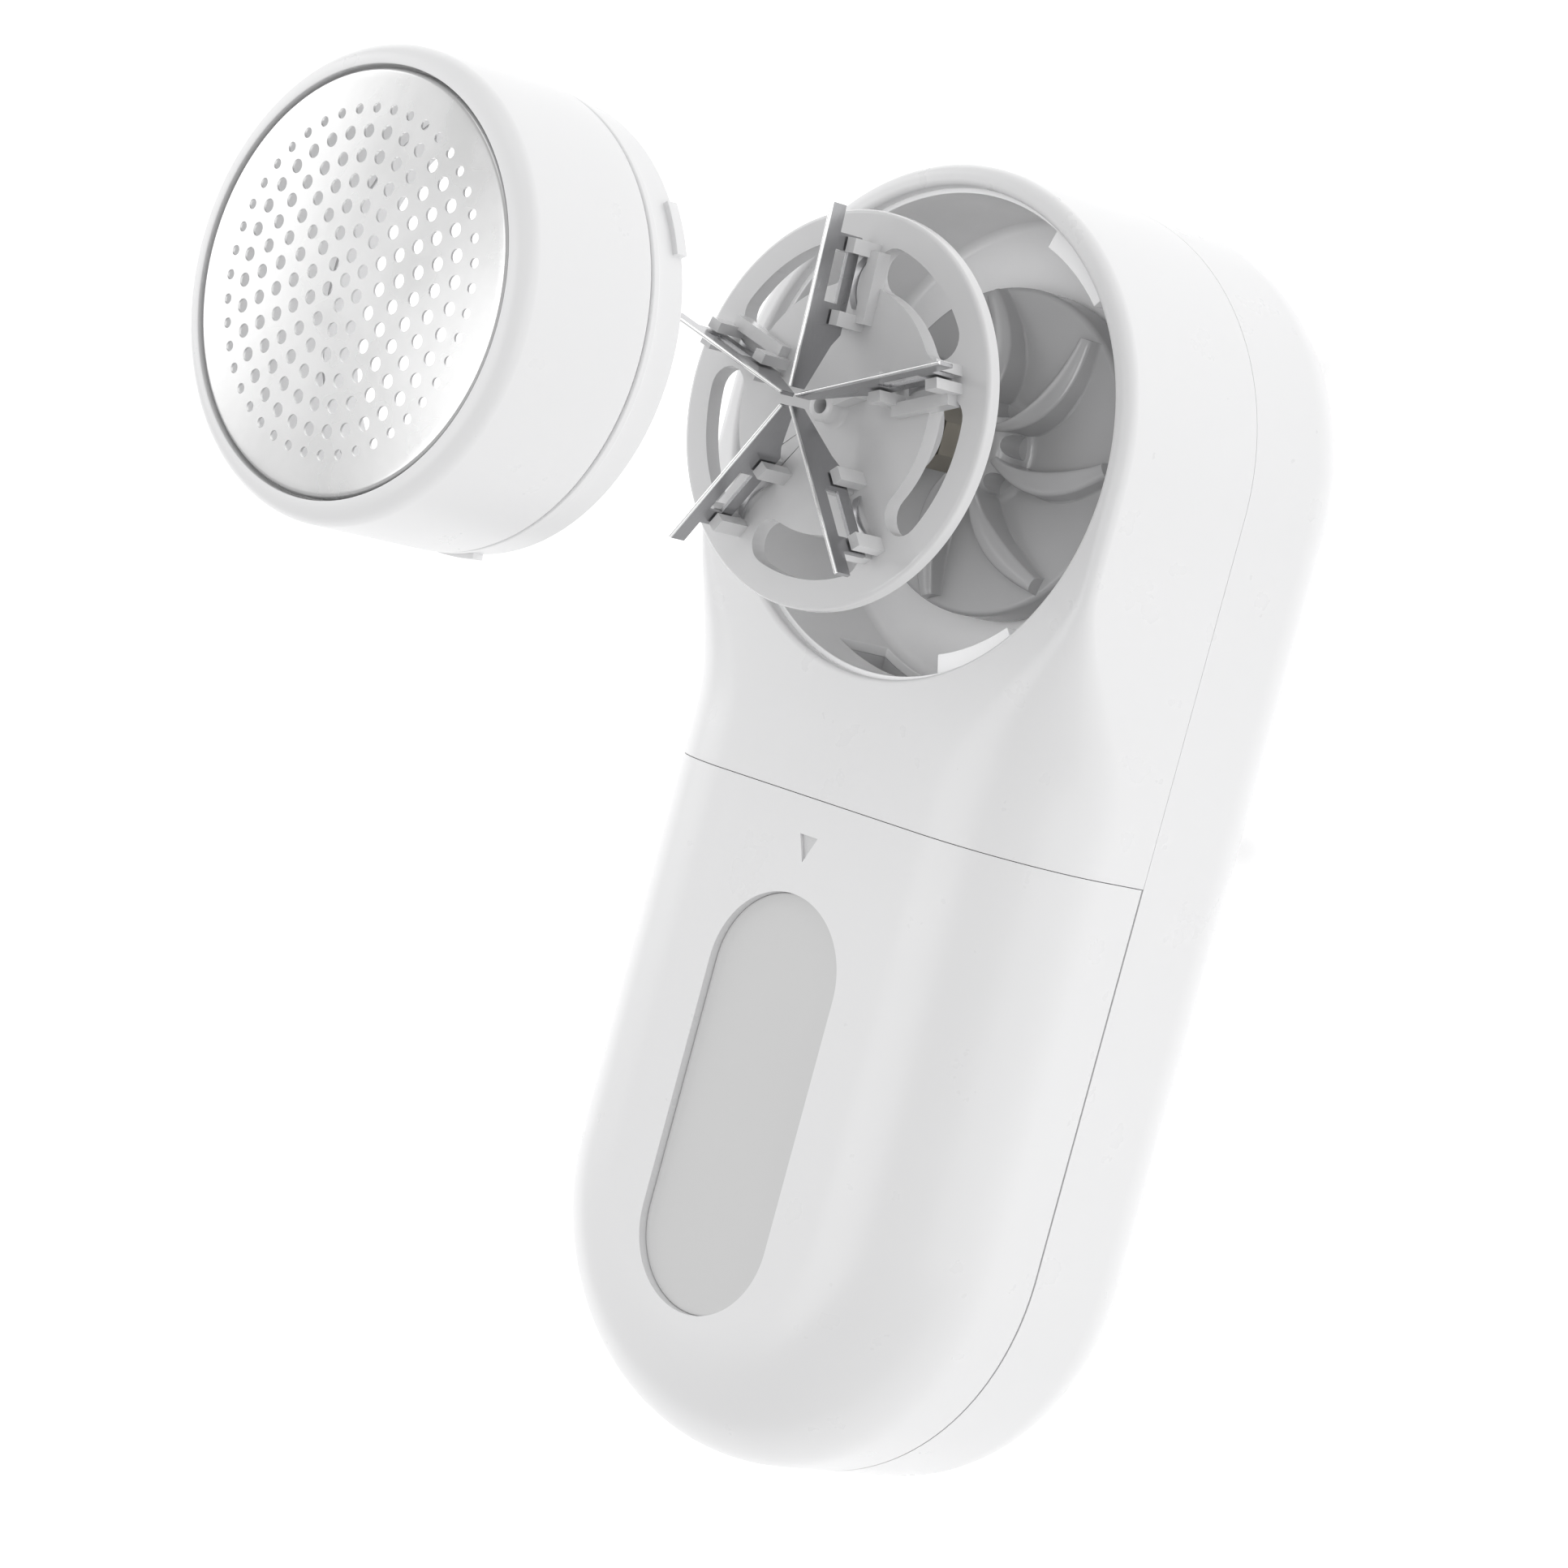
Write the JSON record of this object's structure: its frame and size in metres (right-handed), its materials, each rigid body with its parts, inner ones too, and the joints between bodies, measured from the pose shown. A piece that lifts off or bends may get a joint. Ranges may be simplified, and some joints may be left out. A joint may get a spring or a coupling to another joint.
{
  "type": "fabric shaver",
  "caption": "Cordless fabric shaver with a perforated foil head, a bladed cutter wheel over a suction impeller, a windowed lint box and a slide switch; head and wheel drawn off.",
  "frame": {"origin": "centre of the box that the body and the drawn-off head fill, on the flat back", "axes": "+Z out of the front along the cutter axis; +X along the body towards the head end; +Y to the left of someone who looks at the front with the head end up"},
  "size_m": [0.161, 0.066, 0.1422],
  "materials": {
    "white_casing": "satin gloss, moulded",
    "grey_liner": "gloss, moulded",
    "wheel_grey": "gloss, moulded",
    "fan_grey": "satin, moulded",
    "blade_steel": "ground, with a polished edge",
    "foil_steel": "fine satin",
    "smoke_window": "smoky, translucent plastic",
    "plain_steel": "zinc plated",
    "screw_steel": "zinc plated",
    "bearing_brass": "turned",
    "armature_dark": "matte",
    "black_plastic": "matte",
    "deck_white": "matte",
    "cell_wrap": "shrink wrap",
    "board_green": "solder mask",
    "seal_rubber": "soft, matte",
    "filter_foam": "open mesh",
    "clear_pipe": "clear, frosted",
    "lead_red": "insulated wire"
  },
  "bodies": {
    "body": {"front_shell": "white_casing", "back_shell": "white_casing", "bore_liner": "grey_liner", "air_duct": "grey_liner", "motor_can": "plain_steel", "slide_switch": "plain_steel", "charge_port": "plain_steel", "latch_spring": "plain_steel", "motor_plate": "plain_steel", "shell_screws": "screw_steel", "deck_screws": "screw_steel", "motor_screws": "screw_steel", "motor_bush": "bearing_brass", "motor_magnets": "armature_dark", "motor_end_cap": "black_plastic", "battery_cradle": "black_plastic", "mid_deck": "deck_white", "battery_cell": "cell_wrap", "control_board": "board_green", "charge_board": "board_green", "inlet_seal": "seal_rubber", "light_pipe": "clear_pipe", "battery_leads": "lead_red", "motor_leads": "lead_red"},
    "lint_box": {"lint_box_shell": "white_casing", "lint_window": "smoke_window", "exhaust_filter": "filter_foam"},
    "switch": {"switch_knob": "white_casing"},
    "rotor": {"motor_shaft": "plain_steel", "motor_armature": "armature_dark", "impeller": "fan_grey", "drive_dog": "bearing_brass"},
    "cutter": {"cutter_wheel": "wheel_grey", "hub_insert": "bearing_brass", "blade_springs": "plain_steel"},
    "head": {"head_shell": "white_casing", "foil": "foil_steel", "foil_sleeve": "grey_liner"},
    "collar": {"lock_collar": "white_casing"},
    "blade_1": {"cutter_blade_1": "blade_steel"},
    "blade_2": {"cutter_blade_2": "blade_steel"},
    "blade_3": {"cutter_blade_3": "blade_steel"},
    "blade_4": {"cutter_blade_4": "blade_steel"},
    "blade_5": {"cutter_blade_5": "blade_steel"}
  },
  "joints": [
    {"name": "rotor_spin", "type": "hinge", "parent": "body", "child": "rotor", "pos_m": [0.0475, 0, 0.03], "axis": [0, 0, 1], "continuous": true},
    {"name": "cutter_lift", "type": "slide", "parent": "rotor", "child": "cutter", "axis": [0, 0, 1], "range_m": [-0.0074, 0]},
    {"name": "head_lift", "type": "slide", "parent": "body", "child": "head", "axis": [0, 0, 1], "range_m": [-0.0783, 0]},
    {"name": "collar_twist", "type": "hinge", "parent": "head", "child": "collar", "pos_m": [0.0475, 0, 0.118], "axis": [0, 0, 1], "range_deg": [0, 26]},
    {"name": "lint_box_slide", "type": "slide", "parent": "body", "child": "lint_box", "axis": [-1, 0, 0], "range_m": [0, 0.07]},
    {"name": "switch_slide", "type": "slide", "parent": "body", "child": "switch", "axis": [1, 0, 0], "range_m": [0, 0.005]},
    {"name": "blade_float_1", "type": "slide", "parent": "cutter", "child": "blade_1", "axis": [0, 0, 1], "range_m": [-0.0004, 0]},
    {"name": "blade_float_2", "type": "slide", "parent": "cutter", "child": "blade_2", "axis": [0, 0, 1], "range_m": [-0.0004, 0]},
    {"name": "blade_float_3", "type": "slide", "parent": "cutter", "child": "blade_3", "axis": [0, 0, 1], "range_m": [-0.0004, 0]},
    {"name": "blade_float_4", "type": "slide", "parent": "cutter", "child": "blade_4", "axis": [0, 0, 1], "range_m": [-0.0004, 0]},
    {"name": "blade_float_5", "type": "slide", "parent": "cutter", "child": "blade_5", "axis": [0, 0, 1], "range_m": [-0.0004, 0]}
  ],
  "couplings": [
    {"joint": "cutter_lift", "follows": "head_lift", "ratio": 0.094508},
    {"joint": "blade_float_2", "follows": "blade_float_1", "ratio": 1},
    {"joint": "blade_float_3", "follows": "blade_float_1", "ratio": 1},
    {"joint": "blade_float_4", "follows": "blade_float_1", "ratio": 1},
    {"joint": "blade_float_5", "follows": "blade_float_1", "ratio": 1}
  ]
}
